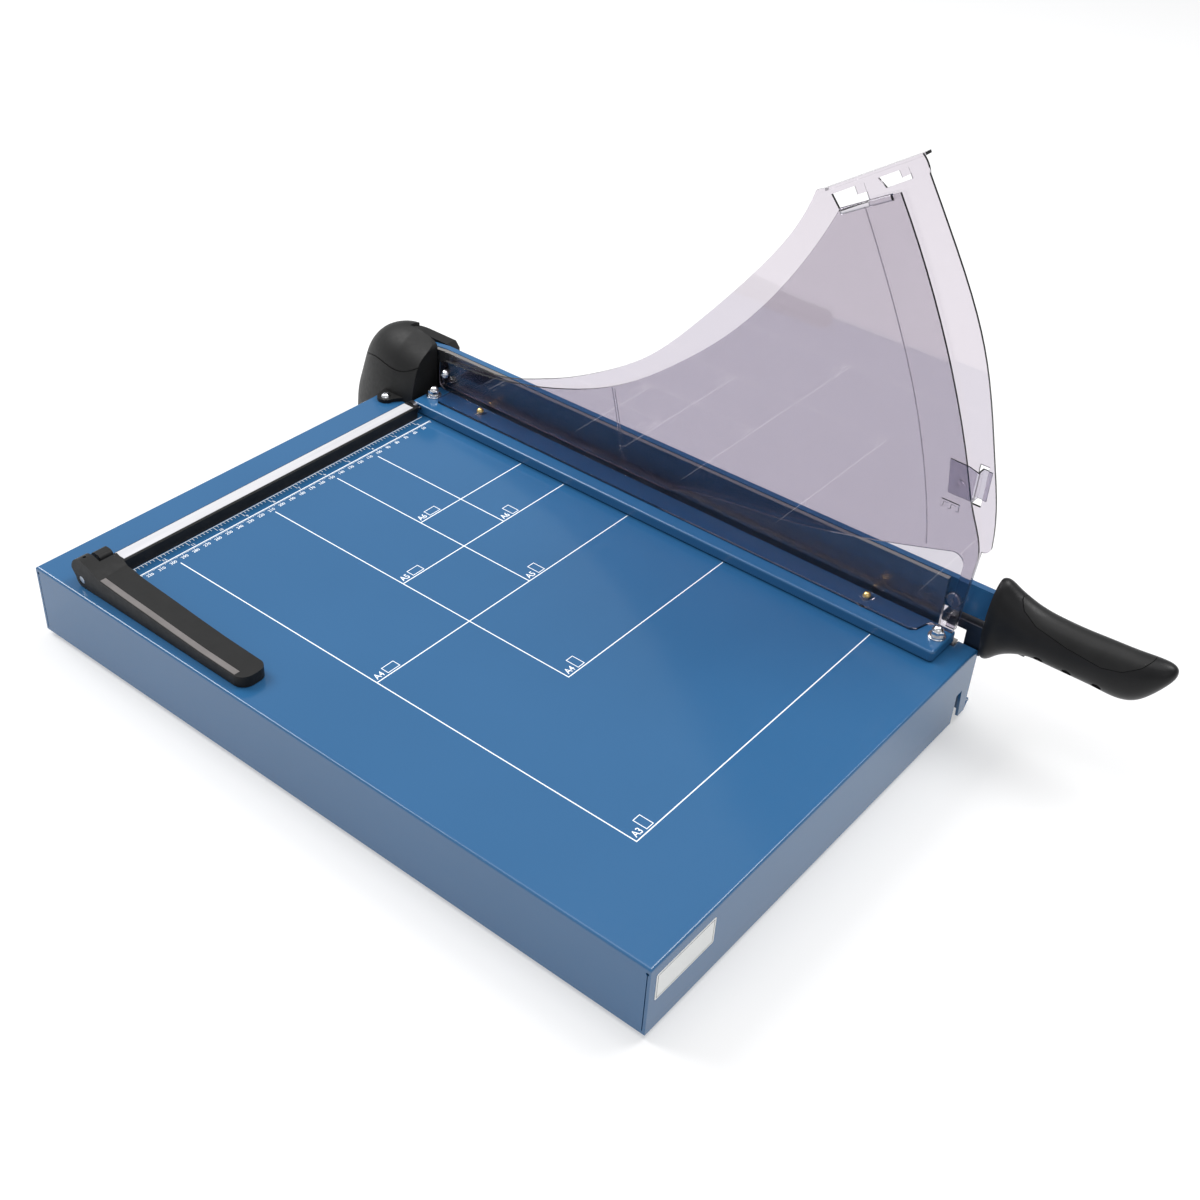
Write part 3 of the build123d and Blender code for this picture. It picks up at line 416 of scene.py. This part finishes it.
def add_text(mesh_data, words, x, y, height, squeeze=1.0):
    """Capitals height tall with their feet on x, starting at y and reading towards the cut."""
    curve = bpy.data.curves.new("letters", "FONT")
    curve.body = words
    curve.size = height / CAPITAL_SHARE * MM
    curve.resolution_u = 3
    curve.offset = 0.012 * height * MM
    lettering = bpy.data.objects.new("letters", curve)
    bpy.context.scene.collection.objects.link(lettering)
    bpy.context.view_layer.update()
    flat = bpy.data.meshes.new_from_object(lettering)
    turn = Matrix(((0, -1, 0), (1, 0, 0), (0, 0, 1))).to_4x4()
    place = Matrix.Translation(at(x, y, INK)) @ turn @ Matrix.Diagonal((squeeze, 1, 1, 1))
    flat.transform(place)
    mesh_data.from_mesh(flat)
    bpy.data.meshes.remove(flat)
    bpy.data.objects.remove(lettering)
    bpy.data.curves.remove(curve)


# name, short side and long side of each printed format, and where its lines begin and end
FORMATS = (("A3", 297, 420), ("A4", 210, 297), ("A5", 148, 210), ("A6", 105, 148))
LINE_START = 18.0
CROSS_END = -36.5

# the name and the small page outline beside each corner
NAME_HEIGHT = 5.0
NAME_SQUEEZE = 0.86
NAME_BACK = 1.9
NAME_ASIDE = 2.4
PAGE_BACK = 1.5
PAGE_ASIDE = 11.7
PAGE_SHORT = 6.8
PAGE_LONG_UPRIGHT = 10.8
PAGE_LONG_LYING = 11.0
PAGE_LINE = 0.55


def add_printed_formats(ink):
    """Outlines of the paper formats, upright and lying, with their names at the corners."""
    lines = bmesh.new()
    marks = bmesh.new()
    reach = {}
    for name, short, long in FORMATS:
        corners = [(short, long)] if name == "A3" else [(short, long), (long, short)]
        for deep, across in corners:
            reach[deep] = max(reach.get(deep, 0), across)
            foot = across - NAME_BACK
            add_text(marks, name, foot, NAME_ASIDE - deep, NAME_HEIGHT, NAME_SQUEEZE)
            tall = PAGE_SHORT if across < deep else PAGE_LONG_UPRIGHT
            wide = PAGE_LONG_LYING if across < deep else PAGE_SHORT
            top = across - PAGE_BACK
            side = PAGE_ASIDE - deep
            add_frame_lines(marks, top - tall, top, side, side + wide, PAGE_LINE)
    for deep, across in reach.items():
        add_slab(lines, LINE_START, across + LINE / 2, -deep - LINE / 2, -deep + LINE / 2)
    crossings = {}
    for name, short, long in FORMATS:
        crossings[long] = max(crossings.get(long, 0), short)
        if name != "A3":
            crossings[short] = max(crossings.get(short, 0), long)
    for across, deep in crossings.items():
        add_slab(lines, across - LINE / 2, across + LINE / 2, -deep, CROSS_END, UNDER_INK)
    add_mesh_piece("printed_format_lines", lines, ink, "table")
    add_mesh_piece("printed_format_names", marks, ink, "table")


# the ruler's ends and the two edges of each of its long lines
INCH = 25.4
RULER_NEAR = -38.5
RULER_FAR = -329.0
INCH_LINE = (0.7, 1.3)
MILLIMETRE_LINE = (9.5, 10.3)

# half widths and lengths of the ticks, longest first, and feet and heights of the numbers
INCH_TICK = 0.22
INCH_TICKS = (5.0, 2.4)
MILLIMETRE_TICK = 0.14
MILLIMETRE_TICKS = (2.2, 1.6, 1.0)
INCH_NUMBER = (8.6, 2.6)
MILLIMETRE_NUMBER = (15.6, 2.7)
HALF_DIGIT = 1.02


def add_printed_ruler(ink):
    """Inch scale beside the stop and millimetre scale outside it, both counted from the cut."""
    lines = bmesh.new()
    add_slab(lines, *INCH_LINE, RULER_FAR, RULER_NEAR)
    add_slab(lines, *MILLIMETRE_LINE, RULER_FAR, RULER_NEAR)
    foot = INCH_LINE[1]
    for eighth in range(8 * 2, 8 * 13 + 1):
        y = -eighth * INCH / 8
        if RULER_FAR < y < RULER_NEAR:
            length = INCH_TICKS[0 if eighth % 8 == 0 else 1]
            add_slab(lines, foot, foot + length, y - INCH_TICK, y + INCH_TICK)
    foot = MILLIMETRE_LINE[1]
    for millimetre in range(39, 329):
        length = MILLIMETRE_TICKS[2]
        if millimetre % 10 == 0:
            length = MILLIMETRE_TICKS[0]
        elif millimetre % 5 == 0:
            length = MILLIMETRE_TICKS[1]
        y = -millimetre
        add_slab(lines, foot, foot + length, y - MILLIMETRE_TICK, y + MILLIMETRE_TICK)
    add_mesh_piece("printed_ruler_lines", lines, ink, "table")
    numbers = bmesh.new()
    foot, height = MILLIMETRE_NUMBER
    for millimetre in range(50, 330, 10):
        words = str(millimetre)
        add_text(numbers, words, foot, -millimetre - HALF_DIGIT * len(words), height, 0.95)
    foot, height = INCH_NUMBER
    for inch in range(2, 13):
        add_text(numbers, str(inch), foot, -inch * INCH + 0.6, height, 0.9)
    add_mesh_piece("printed_ruler_numbers", numbers, ink, "table")


def add_label_border(ink):
    """Thin printed border of the plain sticker on the table's right face."""
    low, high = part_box("side_label")
    margin = 1.2 * MM
    width = 0.35 * MM
    y1, y2 = low.y + margin, high.y - margin
    z1, z2 = low.z + margin, high.z - margin
    border = bmesh.new()
    bars = ((y1, y2, z1, z1 + width), (y1, y2, z2 - width, z2),
            (y1, y1 + width, z1 + width, z2 - width), (y2 - width, y2, z1 + width, z2 - width))
    sunk = high.x - 0.01 * MM
    proud = high.x + INK * MM
    for left, right, bottom, top in bars:
        ring = ((left, bottom), (right, bottom), (right, top), (left, top))
        add_block(border, [(sunk, y, z) for y, z in ring], [(proud, y, z) for y, z in ring])
    add_mesh_piece("side_label_border", border, ink, "table")


# ---------------------------------------------------------------- ridges moulded into the guard


# front face of the front guard, and the ridges on it as places along the cut and heights
GUARD_FACE = -8.0
RIGHT_RIDGE = ((349, 278), (392, 205), (428, 108), (434, 68))
LOW_RIDGE = ((167, 80), (175, 52), (180, 24))
LOW_RIDGE_PITCH = 2.2


def add_ridge(name, line, shift, radius, material, body):
    """A half-sunk moulded ridge along line, moved by shift along the cut."""
    curve = bpy.data.curves.new(name, "CURVE")
    curve.dimensions = "3D"
    curve.bevel_depth = radius * MM
    curve.bevel_resolution = 3
    curve.use_fill_caps = True
    spline = curve.splines.new("NURBS")
    spline.points.add(len(line) - 1)
    for point, (x, z) in zip(spline.points, line):
        point.co = (*at(x + shift, GUARD_FACE, z), 1.0)
    spline.order_u = 3
    spline.use_endpoint_u = True
    curve.materials.append(material)
    ridge = bpy.data.objects.new(name, curve)
    bpy.context.scene.collection.objects.link(ridge)
    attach(ridge, body)


def add_guard_ridges(acrylic):
    ridges = (("guard_ridge_right", RIGHT_RIDGE, 0.0, 0.45),
              ("guard_ridge_left_low", LOW_RIDGE, 0.0, 0.4),
              ("guard_ridge_right_low", LOW_RIDGE, LOW_RIDGE_PITCH, 0.4))
    for name, line, shift, radius in ridges:
        add_ridge(name, line, shift, radius, acrylic, "press")


def main():
    add_stage()
    materials = make_materials()
    finish_cad_nodes(materials)
    add_printed_formats(materials["white_ink"])
    add_printed_ruler(materials["white_ink"])
    add_label_border(materials["label_border"])
    add_guard_ridges(materials["smoked_front"])


main()
